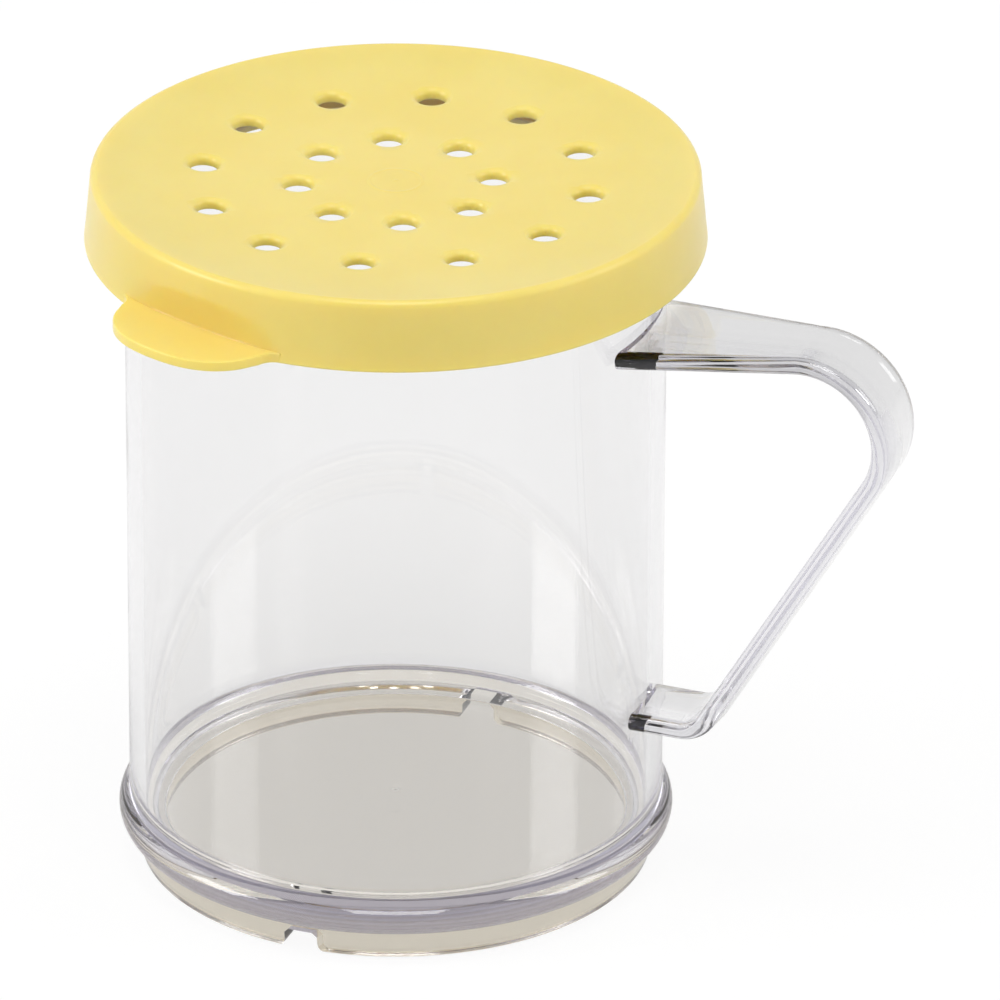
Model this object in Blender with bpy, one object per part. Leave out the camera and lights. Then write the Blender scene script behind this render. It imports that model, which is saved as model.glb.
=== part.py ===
# Handled shaker cup in clear plastic with a perforated snap-on lid.
# Metres, +Z up. The handle points along +X and the foot stands on z = 0.
import math

import bmesh
import bpy
from mathutils import Vector

# Shared clearances and facets
PIECE_GAP = 0.0003
CUT_OVERRUN = 0.002
TURN_STEPS = 72
ROUND_STEPS = 4

# Cup wall
CUP_HEIGHT = 0.0961
CUP_RADIUS = 0.03535
CUP_DRAFT = 0.0002
CUP_WALL = 0.0020
FLOOR_FILLET = 0.0026
FLARE_HEIGHT = 0.0035

# Cup rim, hidden under the lid
RIM_PROUD = 0.0014
RIM_HEIGHT = 0.0046
RIM_ROUND = 0.0009

# Cup base
FOOT_HEIGHT = 0.0033
FOOT_INSET = 0.0014
FOOT_WIDTH = 0.0031
FOOT_ROUND = 0.0006
FLOOR_THICKNESS = 0.0047
FLANGE_PROUD = 0.0014
FLANGE_HEIGHT = 0.0042
FLANGE_DEPTH = 0.0024
NOTCH_WIDTH = 0.0046
NOTCH_ROUND = 0.0013
NOTCH_ROOF = 0.0003
NOTCH_TURNS = (90, 270)

# Handle strap
HANDLE_DEPTH = 0.0354
HANDLE_DROP = 0.0121
HANDLE_BOTTOM = 0.0248
HANDLE_RISE = math.radians(4.4)
UPPER_BEND = 0.0122
LOWER_ARM = 0.0064
LOWER_BEND = 0.0059
STRAP_THICKNESS = 0.0029
STRAP_ROUND = 0.0009
UPPER_ROOT_WIDTH = 0.0191
GRIP_WIDTH = 0.0119
LOWER_ROOT_WIDTH = 0.0111
BEND_STEPS = 9

# Lid
SKIRT_CLEARANCE = 0.0023
LID_HEIGHT = 0.0097
LID_DRAFT = 0.0008
LID_TOP = 0.0013
LID_ROUND = 0.0010
DISH_DEPTH = 0.0015
DISH_POWER = 4
DISH_STEPS = 5
SKIRT_WALL = 0.0015
SKIRT_ROUND = 0.0005
LID_TURN = math.radians(-109.2)

# Snap ridge inside the skirt
SNAP_CLEARANCE = 0.00025
SNAP_HEIGHT = 0.0016
SNAP_RAISE = 0.0004

# Shaker holes in two rings
HOLE_DIAMETER = 0.0039
HOLE_ROUND = 0.0006
HOLE_FACETS = 16
OUTER_HOLES = 12
INNER_HOLES = 8
OUTER_RING_INSET = 0.0080
INNER_RING_SHARE = 0.5

# Thumb tab and the scoop above it
TAB_LENGTH = 0.0075
TAB_WIDTH = 0.0236
TAB_THICKNESS = 0.0014
TAB_RAISE = 0.0001
TAB_ROUND = 0.0005
TAB_SQUARENESS = 2.4
TAB_STEPS = 20
SCOOP_RADIUS = 0.0038
SCOOP_RAISE = 0.0006
SCOOP_SILL = 0.0001
PAD_CLEARANCE = 0.0004

# Places that follow from the sizes
floor_top = FOOT_HEIGHT + FLOOR_THICKNESS
foot_radius = CUP_RADIUS - FOOT_INSET
foot_inner = foot_radius - FOOT_WIDTH
flange_radius = CUP_RADIUS + FLANGE_PROUD
mouth_radius = CUP_RADIUS + CUP_DRAFT - CUP_WALL
rim_radius = CUP_RADIUS + CUP_DRAFT + RIM_PROUD
skirt_inner = rim_radius + SKIRT_CLEARANCE
skirt_radius = skirt_inner + SKIRT_WALL
lid_radius = skirt_radius - LID_DRAFT
dish_radius = lid_radius - LID_ROUND
outer_ring = mouth_radius - OUTER_RING_INSET
inner_ring = outer_ring * INNER_RING_SHARE
snap_radius = rim_radius + SNAP_CLEARANCE
pad_plane = rim_radius + PAD_CLEARANCE
tab_top = TAB_RAISE + TAB_THICKNESS
scoop_top = tab_top + SCOOP_RAISE + SCOOP_RADIUS


def clear_scene():
    for item in list(bpy.data.objects):
        bpy.data.objects.remove(item, do_unlink=True)


def plastic(name, colour, roughness, clear=0.0):
    paint = bpy.data.materials.new(name)
    paint.use_nodes = True
    shader = paint.node_tree.nodes["Principled BSDF"]
    shader.inputs["Base Color"].default_value = (*colour, 1.0)
    shader.inputs["Roughness"].default_value = roughness
    shader.inputs["Metallic"].default_value = 0.0
    shader.inputs["Transmission Weight"].default_value = clear
    shader.inputs["IOR"].default_value = 1.58
    paint.diffuse_color = (*colour, 1.0)
    return paint


def place(name, mesh, parent=None, paint=None):
    piece = bpy.data.objects.new(name, mesh)
    bpy.context.scene.collection.objects.link(piece)
    piece.parent = parent
    if paint:
        mesh.materials.append(paint)
    return piece


def finish_mesh(name, bm, smooth_angle=math.radians(32)):
    bmesh.ops.recalc_face_normals(bm, faces=bm.faces[:])
    mesh = bpy.data.meshes.new(name)
    bm.to_mesh(mesh)
    bm.free()
    mesh.shade_smooth()
    mesh.set_sharp_from_angle(angle=smooth_angle)
    return mesh


def empty(name, location, parent=None):
    marker = bpy.data.objects.new(name, None)
    bpy.context.scene.collection.objects.link(marker)
    marker.parent = parent
    marker.location = location
    return marker


def arc(centre, radius, start, end, steps=ROUND_STEPS):
    # Points on an arc in the (r, z) plane, angles in degrees from +r towards +z
    points = []
    for step in range(steps + 1):
        angle = math.radians(start + (end - start) * step / steps)
        points.append((centre[0] + radius * math.cos(angle), centre[1] + radius * math.sin(angle)))
    return points


def turned(name, outline, steps=TURN_STEPS):
    # A closed (r, z) outline spun about Z; an outline that touches the axis closes there
    bm = bmesh.new()
    ring = [bm.verts.new((r, 0, z)) for r, z in outline]
    on_axis = [r == 0 for r, z in outline]
    edges = []
    for index, vert in enumerate(ring):
        following = (index + 1) % len(ring)
        if not (on_axis[index] and on_axis[following]):
            edges.append(bm.edges.new((vert, ring[following])))
    bmesh.ops.spin(bm, geom=ring + edges, cent=(0, 0, 0), axis=(0, 0, 1), dvec=(0, 0, 0),
                   angle=2 * math.pi, steps=steps, use_merge=True, use_duplicate=False)
    bmesh.ops.remove_doubles(bm, verts=bm.verts[:], dist=PIECE_GAP / 100)
    return finish_mesh(name, bm)


def cutter(name, mesh, parent):
    tool = place(name, mesh, parent)
    tool.hide_render = True
    tool.display_type = "WIRE"
    return tool


def boolean(piece, tool, operation):
    step = piece.modifiers.new(tool.name, "BOOLEAN")
    step.operation = operation
    step.solver = "EXACT"
    step.object = tool


def wall_radius(height):
    share = (height - floor_top) / (CUP_HEIGHT - floor_top)
    return CUP_RADIUS + CUP_DRAFT * share


# Cup wall: tube with a filleted foot and a rim bead
def cup_wall(parent, paint):
    foot = floor_top + PIECE_GAP
    rim_foot = CUP_HEIGHT - RIM_HEIGHT
    fillet_centre = (CUP_RADIUS - CUP_WALL - FLOOR_FILLET, floor_top + FLOOR_FILLET)
    toe_angle = math.degrees(math.asin((foot - fillet_centre[1]) / FLOOR_FILLET))
    flare_radius = flange_radius - FLANGE_PROUD / 2
    outline = []
    for step in range(ROUND_STEPS + 1):
        share = step / ROUND_STEPS
        swell = (flare_radius - CUP_RADIUS) * (1 - share) ** 2
        height = foot + FLARE_HEIGHT * share
        outline.append((wall_radius(height) + swell, height))
    outline.append((wall_radius(rim_foot), rim_foot))
    outline.append((rim_radius, rim_foot + RIM_PROUD))
    outline += arc((rim_radius - RIM_ROUND, CUP_HEIGHT - RIM_ROUND), RIM_ROUND, 0, 90)
    outline += arc((mouth_radius + RIM_ROUND, CUP_HEIGHT - RIM_ROUND), RIM_ROUND, 90, 180)
    outline += arc(fillet_centre, FLOOR_FILLET, 0, toe_angle)
    return place("cup_wall", turned("cup_wall", outline), parent, paint)


# Cup base: floor, half-round flange and notched foot ring
def notch_outline():
    # Across the slot (y, z): square at the roof, flared round corners at the ground
    half = NOTCH_WIDTH / 2
    roof = FOOT_HEIGHT - NOTCH_ROOF
    right = [(half, roof)]
    right += arc((half + NOTCH_ROUND, NOTCH_ROUND), NOTCH_ROUND, 180, 270)
    right.append((half + NOTCH_ROUND, -CUT_OVERRUN))
    left = [(-y, z) for y, z in reversed(right)]
    return right + left


def extruded(name, outline, low, high, axis_map):
    # A flat outline pushed from low to high; axis_map turns (a, b, depth) into a point
    bm = bmesh.new()
    face = bm.faces.new([bm.verts.new(axis_map(a, b, low)) for a, b in outline])
    pushed = bmesh.ops.extrude_face_region(bm, geom=[face])
    shift = Vector(axis_map(0, 0, high)) - Vector(axis_map(0, 0, low))
    moved = [item for item in pushed["geom"] if isinstance(item, bmesh.types.BMVert)]
    bmesh.ops.translate(bm, verts=moved, vec=shift)
    return finish_mesh(name, bm)


def cup_base(parent, paint):
    flange_middle = floor_top - FLANGE_HEIGHT / 2 + PIECE_GAP
    bead = (flange_radius - FLANGE_DEPTH, flange_middle)
    outline = [(0, FOOT_HEIGHT), (foot_inner, FOOT_HEIGHT)]
    outline += arc((foot_inner + FOOT_ROUND, FOOT_ROUND), FOOT_ROUND, 180, 270)
    outline += arc((foot_radius - FOOT_ROUND, FOOT_ROUND), FOOT_ROUND, 270, 360)
    steps = 2 * ROUND_STEPS
    for step in range(steps + 1):
        angle = math.radians(-90 + 180 * step / steps)
        radius = bead[0] + FLANGE_DEPTH * math.cos(angle)
        height = bead[1] + FLANGE_HEIGHT / 2 * math.sin(angle)
        if radius > foot_radius and height < floor_top:
            outline.append((radius, height))
    outline.append((flange_radius - FLANGE_PROUD / 2, floor_top))
    outline.append((0, floor_top))
    base = place("cup_base", turned("cup_base", outline), parent, paint)
    low = foot_inner - CUT_OVERRUN
    high = foot_radius + CUT_OVERRUN
    mesh = extruded("notch_cutter", notch_outline(), low, high, lambda a, b, depth: (depth, a, b))
    for turn in NOTCH_TURNS:
        tool = cutter("notch_cutter", mesh, parent)
        tool.rotation_euler = (0, 0, math.radians(turn))
        boolean(base, tool, "DIFFERENCE")
    return base


# Handle: a flat strap swept along two arms, a bend and a slanted grip
def bend(centre, radius, start, end):
    # Points with their outward normals along a bend's centre line, angles in radians
    points = []
    for step in range(BEND_STEPS + 1):
        angle = start + (end - start) * step / BEND_STEPS
        normal = Vector((math.cos(angle), math.sin(angle)))
        points.append((centre + normal * radius, normal))
    return points


def handle_path():
    # The strap's centre line as (point, outward normal) pairs in the (r, z) plane;
    # the slanted grip is the outer tangent of the two bends
    half = STRAP_THICKNESS / 2
    root = CUP_RADIUS - CUP_WALL
    upper = Vector((CUP_RADIUS + HANDLE_DEPTH - UPPER_BEND, CUP_HEIGHT - HANDLE_DROP - UPPER_BEND))
    lower = Vector((CUP_RADIUS + LOWER_ARM, HANDLE_BOTTOM + LOWER_BEND))
    span = upper - lower
    slope = math.atan2(span.y, span.x)
    grip = slope - math.acos((LOWER_BEND - UPPER_BEND) / span.length)
    upper_bend = bend(upper, UPPER_BEND - half, math.pi / 2 + HANDLE_RISE, grip)
    lower_bend = bend(lower, LOWER_BEND - half, grip, -math.pi / 2)
    arm_end, arm_normal = upper_bend[0]
    arm_fall = (arm_end.x - root) * math.tan(HANDLE_RISE)
    upper_root = (Vector((root, arm_end.y - arm_fall)), arm_normal)
    lower_root = (Vector((root, HANDLE_BOTTOM + half)), Vector((0, -1)))
    return [upper_root] + upper_bend + lower_bend + [lower_root]


def strap_width(index, last):
    if index == 0:
        return UPPER_ROOT_WIDTH
    share = (index - 1) / (last - 1)
    return GRIP_WIDTH + (LOWER_ROOT_WIDTH - GRIP_WIDTH) * share


def strap_section(width):
    # Rounded rectangle across the strap as (y, outward) points
    half_y = width / 2 - STRAP_ROUND
    half_n = STRAP_THICKNESS / 2 - STRAP_ROUND
    section = []
    for sign_y, sign_n, start in ((1, 1, 0), (-1, 1, 90), (-1, -1, 180), (1, -1, 270)):
        centre = (sign_y * half_y, sign_n * half_n)
        section += arc(centre, STRAP_ROUND, start, start + 90, ROUND_STEPS - 1)
    return section


def handle(parent, paint):
    bm = bmesh.new()
    path = handle_path()
    rings = []
    for index, (point, normal) in enumerate(path):
        ring = []
        for y, outward in strap_section(strap_width(index, len(path) - 1)):
            spot = point + normal * outward
            ring.append(bm.verts.new((spot.x, y, spot.y)))
        rings.append(ring)
    for ring in (rings[0], rings[-1]):
        bm.faces.new(ring)
    for near, far in zip(rings, rings[1:]):
        for index in range(len(near)):
            following = (index + 1) % len(near)
            bm.faces.new((near[index], near[following], far[following], far[index]))
    strap = place("handle", finish_mesh("handle", bm), parent, paint)
    top = wall_radius(CUP_HEIGHT) + PIECE_GAP
    bottom = wall_radius(floor_top) + PIECE_GAP
    outline = [(0, floor_top), (bottom, floor_top), (top, CUP_HEIGHT), (0, CUP_HEIGHT)]
    boolean(strap, cutter("wall_cutter", turned("wall_cutter", outline), parent), "DIFFERENCE")
    return strap


# Lid: dished perforated disc, skirt, snap ridge and thumb tab; its origin is the skirt's lower edge
def dish(radius):
    # How far the disc lies below the lid's edge at this radius
    return DISH_DEPTH * (1 - min(radius / dish_radius, 1) ** DISH_POWER)


def dish_outline(height):
    # The dished face, from just inside the edge to the axis
    points = []
    for step in range(1, DISH_STEPS + 1):
        radius = dish_radius * (1 - step / DISH_STEPS)
        points.append((radius, height - dish(radius)))
    return points


def lid_disc():
    outline = [(0, 0)]
    outline += arc((skirt_radius - SKIRT_ROUND, SKIRT_ROUND), SKIRT_ROUND, 270, 360)
    outline += arc((dish_radius, LID_HEIGHT - LID_ROUND), LID_ROUND, 0, 90)
    outline += dish_outline(LID_HEIGHT)
    return turned("lid", outline)


def lid_hollow():
    ceiling = LID_HEIGHT - LID_TOP
    ridge_foot = SNAP_RAISE
    ridge_head = SNAP_RAISE + SNAP_HEIGHT
    ridge_flat = SNAP_HEIGHT / 4
    outline = [(0, -CUT_OVERRUN), (skirt_inner, -CUT_OVERRUN), (skirt_inner, ridge_foot)]
    outline.append((snap_radius, ridge_foot + ridge_flat))
    outline.append((snap_radius, ridge_head - ridge_flat))
    outline.append((skirt_inner, ridge_head))
    outline.append((skirt_inner - LID_DRAFT, ceiling - SKIRT_ROUND))
    outline.append((skirt_inner - LID_DRAFT - SKIRT_ROUND, ceiling))
    outline += dish_outline(ceiling)
    return turned("hollow_cutter", outline)


def tab_outline():
    # Superellipse on the skirt, from just inside the pad to the tip
    root = pad_plane + SKIRT_WALL / 2
    depth = skirt_radius + TAB_LENGTH - root
    power = 2 / TAB_SQUARENESS
    points = []
    for step in range(TAB_STEPS + 1):
        angle = -math.pi / 2 + math.pi * step / TAB_STEPS
        across = math.copysign(abs(math.sin(angle)) ** power, angle) * TAB_WIDTH / 2
        out = root + depth * max(math.cos(angle), 0) ** power
        points.append((out, across))
    return points


def hole_cutters():
    # Straight drills that flare at 45 degrees through the lid's face, one per hole
    radius = HOLE_DIAMETER / 2
    bm = bmesh.new()
    for count, ring_radius in ((OUTER_HOLES, outer_ring), (INNER_HOLES, inner_ring)):
        face = LID_HEIGHT - dish(ring_radius)
        levels = [(radius, -CUT_OVERRUN), (radius, face - HOLE_ROUND)]
        levels.append((radius + HOLE_ROUND + CUT_OVERRUN, face + CUT_OVERRUN))
        for index in range(count):
            turn = 2 * math.pi * index / count
            centre = Vector((ring_radius * math.cos(turn), ring_radius * math.sin(turn), 0))
            loops = []
            for size, height in levels:
                loop = []
                for facet in range(HOLE_FACETS):
                    angle = turn + 2 * math.pi * facet / HOLE_FACETS
                    offset = Vector((size * math.cos(angle), size * math.sin(angle), height))
                    loop.append(bm.verts.new(centre + offset))
                loops.append(loop)
            bm.faces.new(loops[0])
            bm.faces.new(loops[-1])
            for low, high in zip(loops, loops[1:]):
                for facet in range(HOLE_FACETS):
                    following = (facet + 1) % HOLE_FACETS
                    bm.faces.new((low[facet], low[following], high[following], high[facet]))
    return finish_mesh("hole_cutters", bm)


def scoop_outline():
    # The round hollow above the tab, cut off level just over the tab's face
    centre = (pad_plane + SKIRT_WALL + SCOOP_RADIUS, tab_top + SCOOP_RAISE)
    sill = tab_top + SCOOP_SILL
    start = 180 - math.degrees(math.asin((sill - centre[1]) / SCOOP_RADIUS))
    outline = arc(centre, SCOOP_RADIUS, start, 90, TAB_STEPS // 2)
    outline.append((skirt_radius + 2 * TAB_LENGTH, scoop_top))
    outline.append((skirt_radius + 2 * TAB_LENGTH, sill))
    return outline


def lid(parent, paint):
    disc = place("lid", lid_disc(), parent, paint)
    tab_mesh = extruded("tab_shape", tab_outline(), TAB_RAISE, tab_top, lambda a, b, d: (a, b, d))
    tab = cutter("tab_shape", tab_mesh, parent)
    edge = tab.modifiers.new("edge", "BEVEL")
    edge.width = TAB_ROUND
    edge.segments = 2
    edge.limit_method = "ANGLE"
    boolean(disc, tab, "UNION")
    half = skirt_radius
    scoop_mesh = extruded("scoop_cutter", scoop_outline(), -half, half, lambda a, b, d: (a, d, b))
    boolean(disc, cutter("scoop_cutter", scoop_mesh, parent), "DIFFERENCE")
    hollow = cutter("hollow_cutter", lid_hollow(), parent)
    block = [(pad_plane, -half), (half, -half), (half, half), (pad_plane, half)]
    pad_mesh = extruded("pad_block", block, -2 * CUT_OVERRUN, scoop_top, lambda a, b, d: (a, b, d))
    boolean(hollow, cutter("pad_block", pad_mesh, parent), "DIFFERENCE")
    boolean(disc, hollow, "DIFFERENCE")
    boolean(disc, cutter("hole_cutters", hole_cutters(), parent), "DIFFERENCE")
    return disc


def lid_seat():
    # The dished face's underside clears the mouth's inner edge by the gap
    return CUP_HEIGHT + PIECE_GAP + LID_TOP + dish(mouth_radius) - LID_HEIGHT


def centre_footprint(root, pieces):
    # Moves the assembly so that the middle of its footprint lies on the origin
    bpy.context.view_layer.update()
    graph = bpy.context.evaluated_depsgraph_get()
    spots = []
    for piece in pieces:
        seen = piece.evaluated_get(graph)
        spots += [seen.matrix_world @ Vector(corner.co) for corner in seen.data.vertices]
    for axis in range(2):
        reach = [spot[axis] for spot in spots]
        root.location[axis] -= (min(reach) + max(reach)) / 2


def build():
    clear_scene()
    clear = plastic("clear_plastic", (0.92, 0.93, 0.93), 0.05, 1.0)
    yellow = plastic("yellow_plastic", (0.87, 0.70, 0.24), 0.45)
    root = empty("cup_axis", (0, 0, 0))
    pieces = [cup_wall(root, clear), cup_base(root, clear), handle(root, clear)]
    lift = empty("lid_lift", (0, 0, lid_seat()), root)
    lift.rotation_euler = (0, 0, LID_TURN)
    pieces.append(lid(lift, yellow))
    centre_footprint(root, pieces)


build()
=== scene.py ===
import math

import bmesh
import bpy
from mathutils import Matrix, Vector


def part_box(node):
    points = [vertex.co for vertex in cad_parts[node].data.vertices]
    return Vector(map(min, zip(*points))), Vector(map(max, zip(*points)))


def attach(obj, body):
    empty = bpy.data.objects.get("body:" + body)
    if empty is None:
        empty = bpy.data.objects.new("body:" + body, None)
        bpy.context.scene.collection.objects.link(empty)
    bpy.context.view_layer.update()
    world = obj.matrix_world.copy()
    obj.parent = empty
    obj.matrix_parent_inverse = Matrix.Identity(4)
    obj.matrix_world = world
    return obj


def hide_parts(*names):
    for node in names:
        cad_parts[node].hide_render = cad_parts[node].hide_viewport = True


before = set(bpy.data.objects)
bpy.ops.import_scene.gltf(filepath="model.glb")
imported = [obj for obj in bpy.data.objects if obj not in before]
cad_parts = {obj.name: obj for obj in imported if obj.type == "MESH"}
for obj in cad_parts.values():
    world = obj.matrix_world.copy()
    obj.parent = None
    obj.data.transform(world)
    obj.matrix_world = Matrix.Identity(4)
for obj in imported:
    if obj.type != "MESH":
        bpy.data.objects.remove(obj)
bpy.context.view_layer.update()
print("stage: frame loaded")

# the cup's axis and heights come from the frame, sizes are in metres
baseLow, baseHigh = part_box("cup_base")
wallLow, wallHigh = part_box("cup_wall")
lidLow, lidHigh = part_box("lid")
axis = Vector(((baseLow.x + baseHigh.x) / 2, (baseLow.y + baseHigh.y) / 2, 0))
ground = baseLow.z
floorTop = baseHigh.z
rimTop = wallHigh.z
lidTop = lidHigh.z


# a shader socket that does its maths with the usual operators
class Wire:
    def __init__(self, tree, socket):
        self.tree = tree
        self.socket = socket

    def node(self, kind, settings, values, output=0):
        made = self.tree.nodes.new(kind)
        for name, value in settings.items():
            setattr(made, name, value)
        for name, value in values.items():
            if isinstance(value, Wire):
                self.tree.links.new(value.socket, made.inputs[name])
            else:
                made.inputs[name].default_value = value
        return Wire(self.tree, made.outputs[output])

    def maths(self, operation, first, second):
        return self.node("ShaderNodeMath", {"operation": operation}, {0: first, 1: second})

    def __add__(self, other):
        return self.maths("ADD", self, other)

    def __radd__(self, other):
        return self.maths("ADD", other, self)

    def __sub__(self, other):
        return self.maths("SUBTRACT", self, other)

    def __rsub__(self, other):
        return self.maths("SUBTRACT", other, self)

    def __mul__(self, other):
        return self.maths("MULTIPLY", self, other)

    def __rmul__(self, other):
        return self.maths("MULTIPLY", other, self)

    def range(self, low, high):
        # a smooth step from 0 at low to 1 at high
        values = {"Value": self, "From Min": low, "From Max": high}
        return self.node("ShaderNodeMapRange", {"interpolation_type": "SMOOTHSTEP"}, values)

    def blend(self, first, second):
        # mixes two colours by this mask
        return self.node("ShaderNodeMix", {"data_type": "RGBA"}, {0: self, 6: first, 7: second}, 2)

    def into(self, node, name):
        self.tree.links.new(self.socket, node.inputs[name])


def newMaterial(name, values):
    # a Principled material with the constants set on the shader's own sockets
    made = bpy.data.materials.new(name)
    made.use_nodes = True
    tree = made.node_tree
    tree.nodes.clear()
    shader = tree.nodes.new("ShaderNodeBsdfPrincipled")
    output = tree.nodes.new("ShaderNodeOutputMaterial")
    tree.links.new(shader.outputs[0], output.inputs["Surface"])
    for socket, value in values.items():
        shader.inputs[socket].default_value = value
    place = tree.nodes.new("ShaderNodeTexCoord").outputs["Object"]
    return made, shader, output, Wire(tree, place)


# clear polycarbonate: real refraction, a faint grey-violet in thick places, haze where it wears; painted
# shade tints the base darker and beige for the shadowed ground seen through it, and darkens the handle's
# upper arm
clearLook = {
    "tint": (0.966, 0.966, 0.962, 1),
    "strapTint": (0.97, 0.97, 0.97, 1),
    # painted shade: a darker tint on the handle's upper arm and bend
    "armShadeTint": (0.79, 0.79, 0.79, 1),
    # painted shade: a darker, beige tint on the base for the shadowed ground under the cup
    "baseShadeTint": (0.915, 0.86, 0.735, 1),
    "ior": 1.585,
    "polish": 0.012,
    "haze": 0.05,
    "hazeTop": ground + 0.004,
    "hazeScale": 260.0,
    "hazeFrom": 0.35,
    "hazeTo": 0.70,
    "bodyColour": (0.56, 0.54, 0.66, 1),
    "bodyDensity": 21.0,
    "flowScale": 42.0,
    "flowDepth": 0.00003,
}


def clearPlastic():
    look = clearLook
    constants = {
        "IOR": look["ior"],
        "Transmission Weight": 1.0,
        "Metallic": 0.0,
    }
    made, shader, output, place = newMaterial("clearPolycarbonate", constants)
    cloud = place.node("ShaderNodeTexNoise", {}, {"Vector": place, "Scale": look["hazeScale"], "Detail": 3.0})
    height = place.node("ShaderNodeSeparateXYZ", {}, {"Vector": place}, "Z")
    across = place.node("ShaderNodeSeparateXYZ", {}, {"Vector": place}, "X")
    # painted shade mask: 1 on the floor, flange and foot, where the base tint darkens what is seen through
    # them
    low = height.range(floorTop + cup["footRound"], floorTop - cup["flareHeight"] / 2)
    thick = across.range(axis.x + cup["radius"], axis.x + cup["radius"] + strap["thickness"])
    # painted shade mask: 1 on the handle's upper arm, fading out down the upper bend, where the handle is
    # tinted darker
    upperArmShade = height.range(rimTop - strap["drop"] - 2 * strap["upperBend"], rimTop - strap["drop"])
    handle = upperArmShade.blend(look["strapTint"], look["armShadeTint"])
    # painted shade: the wall tint, the handle's darkened tint and the base's shaded beige tint blend into one
    # base colour
    tint = low.blend(thick.blend(look["tint"], handle), look["baseShadeTint"])
    tint.into(shader, "Base Color")
    wear = height.range(look["hazeTop"], ground) * cloud.range(look["hazeFrom"], look["hazeTo"])
    rough = wear * look["haze"] + look["polish"]
    rough.into(shader, "Roughness")
    flow = place.node("ShaderNodeTexNoise", {}, {"Vector": place, "Scale": look["flowScale"], "Detail": 1.0})
    bump = place.node("ShaderNodeBump", {}, {"Strength": 1.0, "Distance": look["flowDepth"], "Height": flow})
    bump.into(shader, "Normal")
    values = {"Color": look["bodyColour"], "Density": look["bodyDensity"]}
    body = place.node("ShaderNodeVolumeAbsorption", {}, values)
    body.into(output, "Volume")
    return made


# the lid's soft plastic: satin, slightly mottled, finely grained, a little light through it
lidLook = {
    "colour": (0.83, 0.635, 0.155, 1),
    "pale": (0.85, 0.66, 0.185, 1),
    "roughness": 0.33,
    "sheen": 0.22,
    "sheenRoughness": 0.4,
    "through": 0.60,
    "scatter": (0.0040, 0.0030, 0.0010),
    "ior": 1.49,
    "grainScale": 2600.0,
    "grainDepth": 0.000003,
    "grainRough": 0.06,
    "mottleScale": 70.0,
    "mottleFrom": 0.3,
    "mottleTo": 0.75,
    "mottleRough": 0.10,
    "waveScale": 95.0,
    "waveDepth": 0.00006,
}


def yellowPlastic():
    look = lidLook
    constants = {
        "IOR": look["ior"],
        "Metallic": 0.0,
        "Subsurface Weight": look["through"],
        "Subsurface Radius": look["scatter"],
        "Subsurface Scale": 1.0,
        "Sheen Weight": look["sheen"],
        "Sheen Roughness": look["sheenRoughness"],
    }
    made, shader, output, place = newMaterial("yellowPolyethylene", constants)
    values = {"Vector": place, "Scale": look["mottleScale"], "Detail": 4.0}
    mottle = place.node("ShaderNodeTexNoise", {}, values)
    colour = mottle.range(look["mottleFrom"], look["mottleTo"]).blend(look["colour"], look["pale"])
    colour.into(shader, "Base Color")
    values = {"Vector": place, "Scale": look["grainScale"], "Detail": 2.0}
    grain = place.node("ShaderNodeTexNoise", {}, values)
    values = {"Vector": place, "Scale": look["waveScale"], "Detail": 1.0}
    wave = place.node("ShaderNodeTexNoise", {}, values)
    middle = look["roughness"] - (look["mottleRough"] + look["grainRough"]) / 2
    rough = mottle * look["mottleRough"] + grain * look["grainRough"] + middle
    rough.into(shader, "Roughness")
    broad = place.node("ShaderNodeBump", {}, {"Strength": 1.0, "Distance": look["waveDepth"], "Height": wave})
    values = {"Strength": 1.0, "Distance": look["grainDepth"], "Height": grain, "Normal": broad}
    fine = place.node("ShaderNodeBump", {}, values)
    fine.into(shader, "Normal")
    return made


def arc(centre, radius, start, end, steps=8):
    # points on an arc in the (r, z) plane, degrees from +r towards +z
    points = []
    for step in range(steps + 1):
        angle = math.radians(start + (end - start) * step / steps)
        points.append((centre[0] + radius * math.cos(angle), centre[1] + radius * math.sin(angle)))
    return points


def meshFrom(name, verts, faces):
    made = bpy.data.meshes.new(name)
    made.from_pydata(verts, [], faces)
    bm = bmesh.new()
    bm.from_mesh(made)
    bmesh.ops.recalc_face_normals(bm, faces=bm.faces[:])
    bm.to_mesh(made)
    bm.free()
    return made


def revolve(name, outline, steps):
    # a closed (r, z) outline turned about the cup's axis; points with r = 0 stay single
    verts = []
    rings = []
    for r, z in outline:
        first = len(verts)
        if r == 0:
            verts.append((axis.x, axis.y, z))
            rings.append([first] * steps)
            continue
        for step in range(steps):
            angle = 2 * math.pi * step / steps
            verts.append((axis.x + r * math.cos(angle), axis.y + r * math.sin(angle), z))
        rings.append(list(range(first, first + steps)))
    faces = []
    for near, far in zip(rings, rings[1:] + rings[:1]):
        for step in range(steps):
            following = (step + 1) % steps
            corners = [near[step], near[following], far[following], far[step]]
            face = [v for index, v in enumerate(corners) if v not in corners[:index]]
            if len(face) > 2:
                faces.append(face)
    return meshFrom(name, verts, faces)


def loft(name, rings):
    # rings of equal length joined in turn, with a cap on each end
    verts = [spot for ring in rings for spot in ring]
    size = len(rings[0])
    faces = [list(range(size)), list(range(len(verts) - size, len(verts)))]
    for row in range(len(rings) - 1):
        for index in range(size):
            following = (index + 1) % size
            a, b = row * size + index, row * size + following
            faces.append([a, b, b + size, a + size])
    return meshFrom(name, verts, faces)


def addObject(name, mesh):
    made = bpy.data.objects.new(name, mesh)
    bpy.context.scene.collection.objects.link(made)
    return made


def cutWith(piece, tool, operation):
    step = piece.modifiers.new(tool.name, "BOOLEAN")
    step.operation = operation
    step.solver = "EXACT"
    step.object = tool


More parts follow.
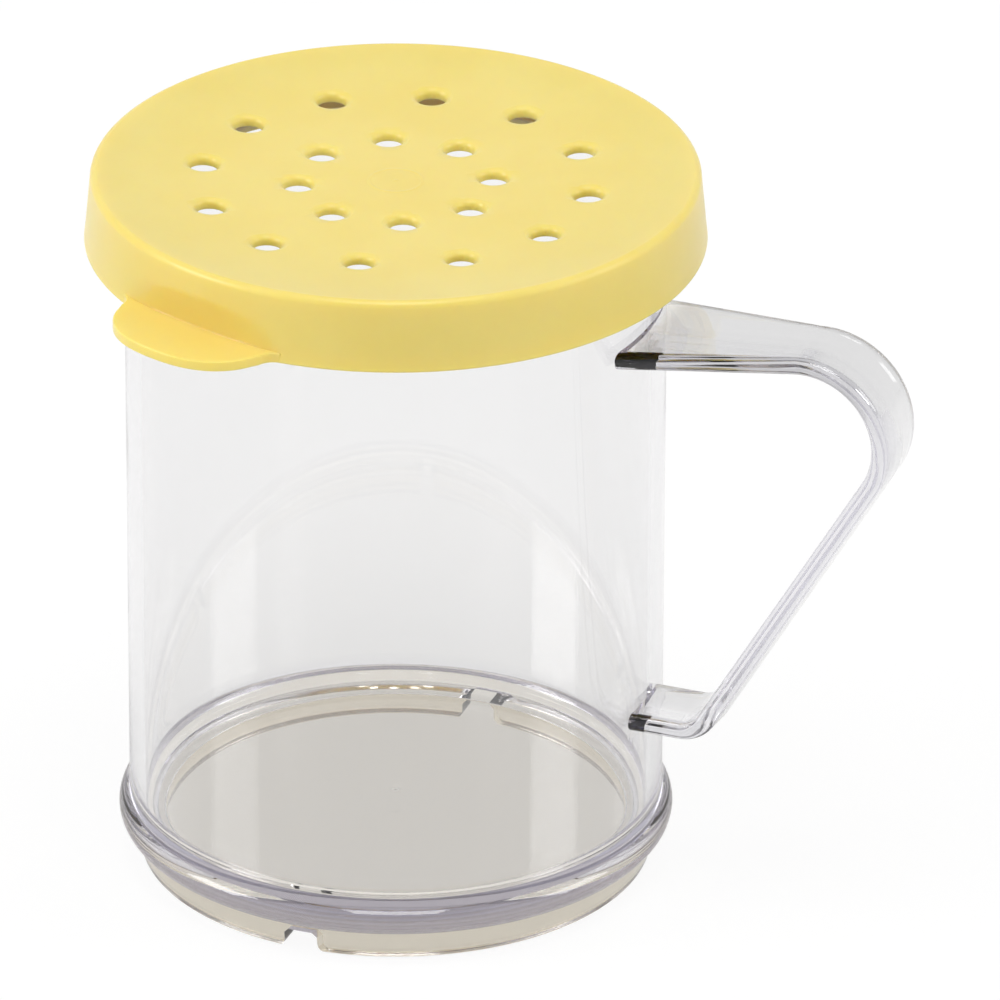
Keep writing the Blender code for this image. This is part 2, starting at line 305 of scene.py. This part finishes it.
def settle(piece, tools):
    # applies the modifiers to the mesh and takes the tools away
    graph = bpy.context.evaluated_depsgraph_get()
    bpy.context.view_layer.update()
    done = bpy.data.meshes.new_from_object(piece.evaluated_get(graph))
    piece.modifiers.clear()
    old = piece.data
    piece.data = done
    done.name = piece.name
    bpy.data.meshes.remove(old)
    for tool in tools:
        bpy.data.objects.remove(tool, do_unlink=True)
    return piece


def shadeRound(piece, angle):
    piece.data.shade_smooth()
    piece.data.set_sharp_from_angle(angle=math.radians(angle))
    weigh = piece.modifiers.new("evenNormals", "WEIGHTED_NORMAL")
    weigh.keep_sharp = True
    weigh.weight = 90  # large faces keep their flat shading


# the clear cup: wall, floor, flange, notched foot ring and strap handle in one moulding
cup = {
    "steps": 256,
    "radius": 0.03535,
    "draft": 0.0002,
    "wall": 0.0020,
    "fillet": 0.0026,
    "rimProud": 0.0014,
    "rimHeight": 0.0046,
    "rimRound": 0.0009,
    "recess": 0.0033,
    "footInset": 0.0014,
    "footWidth": 0.0031,
    "footRound": 0.0006,
    "footFillet": 0.0003,
    "flangeProud": 0.0014,
    "flangeDepth": 0.0024,
    "flangeHeight": 0.0042,
    "flangeLift": 0.0003,
    "flangeTurns": (-84, 60, 6),  # first, last and step in degrees
    "flareHeight": 0.0035,
    "flarePower": 2.4,
    "flareSteps": 8,
    "bands": (0.021, 0.032, 0.062, 0.088),  # heights of the wall's rings
    "notchWidth": 0.0046,
    "notchRound": 0.0013,
    "notchRoof": 0.0030,
    "notchTurns": (90, 270),  # degrees from the handle
    "gateRadius": 0.0007,
    "gateHeight": 0.00012,
    "gateShares": ((1.5, 0), (1.0, 0.35), (0.5, 0.9), (0, 1)),  # of its radius and height
    "support": 0.0002,
    "smoothAngle": 28,  # degrees
}


def wallRadius(height):
    share = (height - floorTop) / (rimTop - floorTop)
    return cup["radius"] + cup["draft"] * share


def cupOutline():
    c = cup
    support = c["support"]
    footOuter = c["radius"] - c["footInset"]
    footInner = footOuter - c["footWidth"]
    recess = ground + c["recess"]
    line = [(0, recess), (footInner - c["footFillet"] - support, recess)]
    line += arc((footInner - c["footFillet"], recess - c["footFillet"]), c["footFillet"], 90, 0, 4)
    line += arc((footInner + c["footRound"], ground + c["footRound"]), c["footRound"], 180, 270, 6)
    line += arc((footOuter - c["footRound"], ground + c["footRound"]), c["footRound"], 270, 360, 6)
    # the flange is half an ellipse that runs out into the wall in a soft flare
    outermost = c["radius"] + c["flangeProud"]
    middle = floorTop - c["flangeHeight"] / 2 + c["flangeLift"]
    bead = outermost - c["flangeDepth"]
    first, last, step = c["flangeTurns"]
    for degrees in range(first, last + 1, step):
        angle = math.radians(degrees)
        r = bead + c["flangeDepth"] * math.cos(angle)
        if r > footOuter + support:
            line.append((r, middle + c["flangeHeight"] / 2 * math.sin(angle)))
    start, low = line[-1]
    top = low + c["flareHeight"]
    for step in range(1, c["flareSteps"] + 1):
        share = step / c["flareSteps"]
        height = low + (top - low) * share
        foot = wallRadius(height)
        line.append((foot + (start - wallRadius(low)) * (1 - share) ** c["flarePower"], height))
    for height in c["bands"]:
        line.append((wallRadius(height), height))
    rimFoot = rimTop - c["rimHeight"]
    rim = c["radius"] + c["draft"] + c["rimProud"]
    line += [(wallRadius(rimFoot), rimFoot), (rim, rimFoot + c["rimProud"])]
    line += arc((rim - c["rimRound"], rimTop - c["rimRound"]), c["rimRound"], 0, 90, 6)
    mouth = wallRadius(rimTop) - c["wall"]
    line += arc((mouth + c["rimRound"], rimTop - c["rimRound"]), c["rimRound"], 90, 180, 6)
    for height in reversed(c["bands"]):
        line.append((c["radius"] - c["wall"] + c["draft"] * (height / rimTop), height))
    inner = c["radius"] - c["wall"]
    line += arc((inner - c["fillet"], floorTop + c["fillet"]), c["fillet"], 0, -90, 12)
    line.append((inner - c["fillet"] - support, floorTop))
    for share, rise in c["gateShares"]:
        line.append((c["gateRadius"] * share, floorTop + c["gateHeight"] * rise))
    return line


def notchTool(turn):
    c = cup
    half = c["notchWidth"] / 2
    flare = c["notchRound"]
    right = [(half - flare / 2, ground + c["notchRoof"]), (half, ground + c["notchRoof"] - flare / 2)]
    right += arc((half + flare, ground + flare), flare, 180, 270, 6)
    right.append((half + flare, ground - flare))
    section = right + [(-y, z) for y, z in reversed(right)]
    near = c["radius"] - c["footInset"] - 2 * c["footWidth"]
    far = c["radius"] + c["flangeProud"]
    spin = Matrix.Rotation(math.radians(turn), 4, "Z")
    rings = [[axis + spin @ Vector((r, y, z)) for y, z in section] for r in (near, far)]
    return addObject("notchTool", loft("notchTool", rings))


# the strap: two arms, a wide bend and a slanted grip, peaked along the mould's parting line
strap = {
    "depth": 0.0354,
    "drop": 0.0121,
    "bottom": 0.0248,
    "rise": 4.4,  # degrees
    "upperBend": 0.0122,
    "lowerArm": 0.0064,
    "lowerBend": 0.0059,
    "thickness": 0.0029,
    "round": 0.00122,
    "peak": 0.00022,
    "seamWidth": 0.0013,
    "seamHeight": 0.00006,
    "upperWidth": 0.0191,
    "gripWidth": 0.0119,
    "lowerWidth": 0.0111,
    "bendSteps": 28,
    "cornerSteps": 7,
    "rootDepth": 0.0011,
}


def strapBend(centre, radius, start, end):
    points = []
    for step in range(strap["bendSteps"] + 1):
        angle = start + (end - start) * step / strap["bendSteps"]
        normal = Vector((math.cos(angle), math.sin(angle)))
        points.append((centre + normal * radius, normal))
    return points


def strapPath():
    # the centre line as (point, outward normal) pairs in the (r, z) plane
    s = strap
    half = s["thickness"] / 2
    root = cup["radius"] - s["rootDepth"]
    upper = Vector((cup["radius"] + s["depth"] - s["upperBend"], rimTop - s["drop"] - s["upperBend"]))
    lower = Vector((cup["radius"] + s["lowerArm"], s["bottom"] + s["lowerBend"]))
    span = upper - lower
    grip = math.atan2(span.y, span.x) - math.acos((s["lowerBend"] - s["upperBend"]) / span.length)
    rise = math.radians(s["rise"])
    high = strapBend(upper, s["upperBend"] - half, math.pi / 2 + rise, grip)
    low = strapBend(lower, s["lowerBend"] - half, grip, -math.pi / 2)
    armEnd, armNormal = high[0]
    fall = (armEnd.x - root) * math.tan(rise)
    start = (Vector((root, armEnd.y - fall)), armNormal)
    return [start] + high + low + [(Vector((root, s["bottom"] + half)), Vector((0, -1)))]


def strapSection(width):
    # across the strap as (y, outward) points: round corners, faces that rise to the parting line
    s = strap
    halfY = width / 2 - s["round"]
    halfOut = s["thickness"] / 2 - s["peak"] - s["round"]
    crest = s["thickness"] / 2
    shoulder = crest - s["seamHeight"]
    seam = [(s["seamWidth"] / 2, shoulder), (0, crest), (-s["seamWidth"] / 2, shoulder)]
    steps = s["cornerSteps"]
    section = arc((halfY, halfOut), s["round"], 0, 90, steps) + seam
    section += arc((-halfY, halfOut), s["round"], 90, 180, steps)
    section += arc((-halfY, -halfOut), s["round"], 180, 270, steps)
    section += [(-y, -out) for y, out in seam]
    section += arc((halfY, -halfOut), s["round"], 270, 360, steps)
    return section


def strapWidth(index, last):
    if index == 0:
        return strap["upperWidth"]
    share = (index - 1) / (last - 1)
    return strap["gripWidth"] + (strap["lowerWidth"] - strap["gripWidth"]) * share


def strapTool():
    path = strapPath()
    rings = []
    for index, (point, normal) in enumerate(path):
        ring = []
        for y, outward in strapSection(strapWidth(index, len(path) - 1)):
            spot = point + normal * outward
            ring.append(axis + Vector((spot.x, y, spot.y)))
        rings.append(ring)
    return addObject("strapTool", loft("strapTool", rings))


def makeCup():
    piece = addObject("clearCup", revolve("clearCup", cupOutline(), cup["steps"]))
    tools = [notchTool(turn) for turn in cup["notchTurns"]]
    for tool in tools:
        cutWith(piece, tool, "DIFFERENCE")
    handle = strapTool()
    cutWith(piece, handle, "UNION")
    settle(piece, tools + [handle])
    shadeRound(piece, cup["smoothAngle"])
    piece.data.materials.clear()
    piece.data.materials.append(clearPlastic())
    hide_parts("cup_wall", "cup_base", "handle")
    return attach(piece, "cup")


# the snap lid: dished perforated top, skirt with a snap ridge, thumb tab under a soft scoop
lid = {
    "steps": 320,
    "clearance": 0.0023,
    "wall": 0.0015,
    "draft": 0.0008,
    "top": 0.0013,
    "round": 0.0010,
    "dishDepth": 0.0015,
    "dishPower": 4,
    "dishSteps": 26,
    "skirtSteps": 20,
    "hemRound": 0.0004,
    "turn": -109.2,  # degrees from the handle to the tab
    "ridgeRaise": 0.0004,
    "ridgeHeight": 0.0016,
    "ridgeClearance": 0.00025,
    "holeDiameter": 0.0039,
    "holeRound": 0.0008,
    "holeSteps": 40,
    "lipSteps": 6,
    "outerHoles": 12,
    "innerHoles": 8,
    "outerInset": 0.0080,
    "innerShare": 0.5,
    "ringRadius": 0.0035,
    "ringHalf": 0.00028,
    "ringShares": (1.3, 1, 0.6, 0.2, -0.2, -0.6, -1, -1.3),
    "dotRadius": 0.00035,
    "dotShares": (1.3, 1, 0.7, 0.35),
    "markHeight": 0.00004,
    "tabLength": 0.0075,
    "tabWidth": 0.0236,
    "tabThickness": 0.0014,
    "tabRaise": 0.0001,
    "tabRound": 0.00068,
    "tabRoundSteps": 6,
    "tabRoundFrom": 60,  # degrees, the least edge that is rounded
    "tabSquareness": 2.4,
    "tabSteps": 64,
    "tabFillet": 0.0024,
    "scoopRadius": 0.0052,
    "scoopShallow": 0.0006,
    "scoopRaise": 0.0006,
    "scoopSill": 0.0001,
    "scoopSoft": 0.0018,
    "padClearance": 0.0004,
    "smoothAngle": 32,  # degrees
}
rimRadius = cup["radius"] + cup["draft"] + cup["rimProud"]
skirtInner = rimRadius + lid["clearance"]
skirtRadius = skirtInner + lid["wall"]
lidRadius = skirtRadius - lid["draft"]
padPlane = rimRadius + lid["padClearance"]
tabTop = lidLow.z + lid["tabRaise"] + lid["tabThickness"]


def dish(radius):
    # how far the disc lies below the lid's edge
    return lid["dishDepth"] * (1 - min(radius / (lidRadius - lid["round"]), 1) ** lid["dishPower"])


def centreMark(radius):
    # a low plain ring and a dot in the middle of the disc
    c = lid
    ring = 1 - ((radius - c["ringRadius"]) / c["ringHalf"]) ** 2
    dot = 1 - (radius / c["dotRadius"]) ** 2
    return c["markHeight"] * max(ring, dot, 0)


def discRadii():
    # radii from the edge to the centre, closer together where the ring and the dot stand up
    c = lid
    flat = lidRadius - c["round"]
    radii = [flat * (1 - step / c["dishSteps"]) for step in range(1, c["dishSteps"])]
    radii += [c["ringRadius"] + c["ringHalf"] * share for share in c["ringShares"]]
    radii += [c["dotRadius"] * share for share in c["dotShares"]]
    return sorted(radii, reverse=True) + [0]


def scooped(spot):
    # draws the skirt in to the scoop's round hollow, with a soft edge all round
    c = lid
    turn = math.radians(c["turn"])
    out = (spot.x - axis.x) * math.cos(turn) + (spot.y - axis.y) * math.sin(turn)
    sill = tabTop + c["scoopSill"]
    if out < 0 or spot.z < sill - c["scoopSill"] / 2 or spot.z > lidTop - c["round"]:
        return spot
    reach = padPlane + c["wall"] + c["scoopShallow"] + c["scoopRadius"]
    rise = abs(spot.z - tabTop - c["scoopRaise"])
    hollow = reach - math.sqrt(max(c["scoopRadius"] ** 2 - rise ** 2, 0)) + max(rise - c["scoopRadius"], 0)
    near = max(c["scoopSoft"] - abs(out - hollow), 0) / c["scoopSoft"]
    drawn = min(out, hollow) - near ** 2 * c["scoopSoft"] / 4
    shift = drawn - out
    return Vector((spot.x + shift * math.cos(turn), spot.y + shift * math.sin(turn), spot.z))


def lidOutline():
    # the outside only; the hollow is cut later, round the thick pad behind the scoop
    hem = lid["hemRound"]
    edge = lid["round"]
    line = [(0, lidLow.z)]
    line += arc((skirtRadius - hem, lidLow.z + hem), hem, 270, 360, 4)
    low = tabTop + lid["scoopSill"]
    high = lidTop - edge
    for step in range(lid["skirtSteps"]):
        height = low + (high - low) * step / lid["skirtSteps"]
        share = (height - lidLow.z) / (high - lidLow.z)
        line.append((skirtRadius - lid["draft"] * share, height))
    line += arc((lidRadius - edge, lidTop - edge), edge, 0, 90, 10)
    line += [(radius, lidTop - dish(radius) + centreMark(radius)) for radius in discRadii()]
    return line


def hollowOutline():
    c = lid
    low = lidLow.z
    ceiling = lidTop - c["top"]
    below = low - c["wall"]
    head = low + c["ridgeRaise"] + c["ridgeHeight"]
    foot = low + c["ridgeRaise"]
    flat = c["ridgeHeight"] / 4
    ridge = rimRadius + c["ridgeClearance"]
    upper = skirtInner - c["draft"] - c["hemRound"]
    line = [(0, below), (skirtInner + c["hemRound"], below), (skirtInner + c["hemRound"], low)]
    line += [(skirtInner, foot), (ridge, foot + flat), (ridge, head - flat), (skirtInner, head)]
    line += arc((upper, ceiling - c["hemRound"]), c["hemRound"], 0, 90, 4)
    for step in range(1, c["dishSteps"] + 1):
        radius = upper * (1 - step / c["dishSteps"])
        line.append((radius, ceiling - dish(radius)))
    return line


def lidPoint(out, across, height):
    # lid places count from its own axis, with the tab along +out
    return axis + Matrix.Rotation(math.radians(lid["turn"]), 3, "Z") @ Vector((out, across, height))


def prism(name, outline, low, high, shape):
    rings = [[shape(a, b, level) for a, b in outline] for level in (low, high)]
    return addObject(name, loft(name, rings))


def tabOutline():
    # a superellipse whose ends run out into the skirt in hollow curves
    c = lid
    half = c["tabWidth"] / 2
    root = padPlane + c["wall"] / 2
    depth = skirtRadius + c["tabLength"] - root
    power = 2 / c["tabSquareness"]
    fillet = c["tabFillet"]
    away = half + fillet
    centre = math.sqrt((skirtRadius + fillet) ** 2 - away ** 2)
    turn = math.degrees(math.atan2(away, centre))
    side = arc((centre, away), fillet, 180 + turn, 270, 8)
    middle = []
    for step in range(c["tabSteps"] + 1):
        angle = math.pi / 2 - math.pi * step / c["tabSteps"]
        out = root + depth * max(math.cos(angle), 0) ** power
        across = math.copysign(abs(math.sin(angle)) ** power, angle) * half
        if out > centre + fillet / 4:
            middle.append((out, across))
    other = [(out, -across) for out, across in reversed(side)]
    rootSide = side[0][1]
    return [(root, rootSide)] + side + middle + other + [(root, -rootSide)]


def tabTool():
    c = lid
    tool = prism("tabTool", tabOutline(), lidLow.z + c["tabRaise"], tabTop, lidPoint)
    edge = tool.modifiers.new("edge", "BEVEL")
    edge.width = c["tabRound"]
    edge.segments = c["tabRoundSteps"]
    edge.limit_method = "ANGLE"
    edge.angle_limit = math.radians(c["tabRoundFrom"])
    return tool


def holesTool():
    # straight holes with round lips that follow the dished face
    c = lid
    radius = c["holeDiameter"] / 2
    profile = [(radius, -c["top"] - c["wall"]), (radius, -c["holeRound"])]
    for step in range(1, c["lipSteps"] + 1):
        angle = math.pi / 2 * step / c["lipSteps"]
        wider = c["holeRound"] * (1 - math.cos(angle))
        profile.append((radius + wider, c["holeRound"] * (math.sin(angle) - 1)))
    profile.append((radius + 1.5 * c["holeRound"], c["holeRound"] / 4))
    outer = cup["radius"] + cup["draft"] - cup["wall"] - c["outerInset"]
    verts = []
    faces = []
    for count, ringRadius in ((c["outerHoles"], outer), (c["innerHoles"], outer * c["innerShare"])):
        for index in range(count):
            turn = 2 * math.pi * index / count
            first = len(verts)
            size = c["holeSteps"]
            for r, rise in profile:
                for step in range(size):
                    angle = turn + 2 * math.pi * step / size
                    out = ringRadius * math.cos(turn) + r * math.cos(angle)
                    across = ringRadius * math.sin(turn) + r * math.sin(angle)
                    verts.append(lidPoint(out, across, lidTop - dish(math.hypot(out, across)) + rise))
            faces.append(list(range(first, first + size)))
            faces.append(list(range(len(verts) - size, len(verts))))
            for row in range(len(profile) - 1):
                for step in range(size):
                    a = first + row * size + step
                    b = first + row * size + (step + 1) % size
                    faces.append([a, b, b + size, a + size])
    return addObject("holesTool", meshFrom("holesTool", verts, faces))


def makeLid():
    c = lid
    piece = addObject("shakerLid", revolve("shakerLid", lidOutline(), c["steps"]))
    for vert in piece.data.vertices:
        vert.co = scooped(vert.co)
    tab = tabTool()
    hollow = addObject("hollowTool", revolve("hollowTool", hollowOutline(), c["steps"]))
    padTop = tabTop + c["scoopRaise"] + c["scoopRadius"]
    wide = skirtRadius
    block = [(padPlane, -wide), (wide, -wide), (wide, wide), (padPlane, wide)]
    pad = prism("padTool", block, lidLow.z - 2 * c["wall"], padTop, lidPoint)
    cutWith(hollow, pad, "DIFFERENCE")
    holes = holesTool()
    cutWith(piece, tab, "UNION")
    cutWith(piece, hollow, "DIFFERENCE")
    cutWith(piece, holes, "DIFFERENCE")
    settle(piece, [tab, hollow, pad, holes])
    shadeRound(piece, c["smoothAngle"])
    piece.data.materials.clear()
    piece.data.materials.append(yellowPlastic())
    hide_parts("lid")
    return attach(piece, "lid")


# the studio: a pale floor, a white sky that is dimmer behind the camera, three soft lamps
studio = {
    "floorSize": 8.0,
    "floorGap": 0.00005,
    "floorColour": (0.86, 0.855, 0.85, 1),
    "floorGlow": 1.02,
    "floorSeen": 0.90,
    "floorInGlass": 0.52,
    "floorInGloss": 0.40,
    "sky": 0.64,
    "skyInGlass": 1.0,
    "roomDark": 0.6,
    "roomAzimuth": 21.5,
    "roomElevation": 38.0,
    "roomNear": 0.95,
    "roomFar": 0.78,
    "bounces": 32,
}
lamps = {
    "topLamp": {"azimuth": 21.5, "elevation": 72.0, "distance": 1.6, "size": 0.7, "power": 8.4},
    "leftLamp": {"azimuth": -60.0, "elevation": 30.0, "distance": 1.6, "size": 0.7, "power": 10.0},
    "rightLamp": {"azimuth": 105.0, "elevation": 30.0, "distance": 1.6, "size": 0.7, "power": 6.5},
}


def rayShares(tree):
    # 1 for what the camera sees by itself, in glass and in gloss
    path = tree.nodes.new("ShaderNodeLightPath")
    camera = Wire(tree, path.outputs["Is Camera Ray"])
    gloss = Wire(tree, path.outputs["Is Glossy Ray"])
    glass = Wire(tree, path.outputs["Is Transmission Ray"])
    glass = glass * (1 - camera)
    return camera, glass, gloss * (1 - camera) * (1 - glass)


def makeFloor():
    half = studio["floorSize"] / 2
    corners = [(-half, -half, ground), (half, -half, ground), (half, half, ground), (-half, half, ground)]
    floor = addObject("studioFloor", meshFrom("studioFloor", corners, [[0, 1, 2, 3]]))
    floor.location.z = -studio["floorGap"]
    made = bpy.data.materials.new("studioFloor")
    made.use_nodes = True
    tree = made.node_tree
    tree.nodes.clear()
    output = tree.nodes.new("ShaderNodeOutputMaterial")
    camera, glass, gloss = rayShares(tree)
    plain = camera.node("ShaderNodeBsdfDiffuse", {}, {"Color": studio["floorColour"]})
    glow = camera.node("ShaderNodeEmission", {}, {"Strength": studio["floorGlow"]})
    white = camera * studio["floorSeen"] + glass * studio["floorInGlass"] + gloss * studio["floorInGloss"]
    mix = white.node("ShaderNodeMixShader", {}, {0: white, 1: plain, 2: glow})
    mix.into(output, "Surface")
    floor.data.materials.append(made)


def makeSky():
    world = bpy.data.worlds.new("studioSky")
    bpy.context.scene.world = world
    world.use_nodes = True
    tree = world.node_tree
    tree.nodes.clear()
    output = tree.nodes.new("ShaderNodeOutputWorld")
    direction = Wire(tree, tree.nodes.new("ShaderNodeTexCoord").outputs["Generated"])
    room = tuple(fromPoint(studio["roomAzimuth"], studio["roomElevation"]))
    values = {0: direction, 1: room}
    facing = direction.node("ShaderNodeVectorMath", {"operation": "DOT_PRODUCT"}, values, "Value")
    dark = facing.range(studio["roomFar"], studio["roomNear"]) * studio["roomDark"]
    camera, glass, gloss = rayShares(tree)
    mirror = glass + gloss
    strength = camera + mirror * (studio["skyInGlass"] - dark) + (1 - camera - mirror) * studio["sky"]
    background = strength.node("ShaderNodeBackground", {}, {"Strength": strength})
    background.into(output, "Surface")


def fromPoint(azimuth, elevation):
    # the direction back towards a viewer at that bearing, azimuth 0 looking along +Y
    a = math.radians(azimuth)
    e = math.radians(elevation)
    return Vector((math.sin(a) * math.cos(e), -math.cos(a) * math.cos(e), math.sin(e)))


def makeLamps():
    middle = axis + Vector((0, 0, lidTop / 2))
    for name, values in lamps.items():
        lamp = bpy.data.lights.new(name, "AREA")
        lamp.shape = "SQUARE"
        lamp.size = values["size"]
        lamp.energy = values["power"]
        holder = addObject(name, lamp)
        back = fromPoint(values["azimuth"], values["elevation"])
        holder.location = middle + back * values["distance"]
        holder.rotation_euler = (-back).to_track_quat("-Z", "Y").to_euler()


# the camera: long lens at the photograph's angle, turned a little right of the cup's axis
view = {
    "azimuth": 21.5,
    "elevation": 26.505,
    "distance": 2.2,
    "lens": 601.14,
    "sensor": 36.0,
    "nearClip": 0.1,
    "turnRight": 0.35711,
    "turnUp": 0.0251,
}


def makeCamera():
    data = bpy.data.cameras.new("camera")
    data.sensor_width = view["sensor"]
    data.lens = view["lens"]
    data.clip_start = view["nearClip"]
    holder = addObject("camera", data)
    turn = Matrix.Rotation(math.radians(view["azimuth"]), 4, "Z")
    tilt = Matrix.Rotation(math.radians(90 - view["elevation"]), 4, "X")
    ahead = Vector((math.tan(math.radians(view["turnRight"])), math.tan(math.radians(view["turnUp"])), -1))
    aim = Vector((0, 0, -1)).rotation_difference(ahead).to_matrix().to_4x4()
    back = fromPoint(view["azimuth"], view["elevation"])
    spot = axis + Vector((0, 0, lidTop / 2)) + back * view["distance"]
    holder.matrix_world = Matrix.Translation(spot) @ turn @ tilt @ aim
    bpy.context.scene.camera = holder


makeCamera()
makeFloor()
makeSky()
makeLamps()
print("stage: studio and camera set")
makeCup()
print("stage: clear cup made")
makeLid()
print("stage: lid made")
bpy.context.scene.view_settings.view_transform = "Standard"
cycles = bpy.context.scene.cycles
cycles.max_bounces = studio["bounces"]  # the thick base passes light along itself many times
cycles.glossy_bounces = studio["bounces"]
cycles.transmission_bounces = studio["bounces"]

print("stage: done")
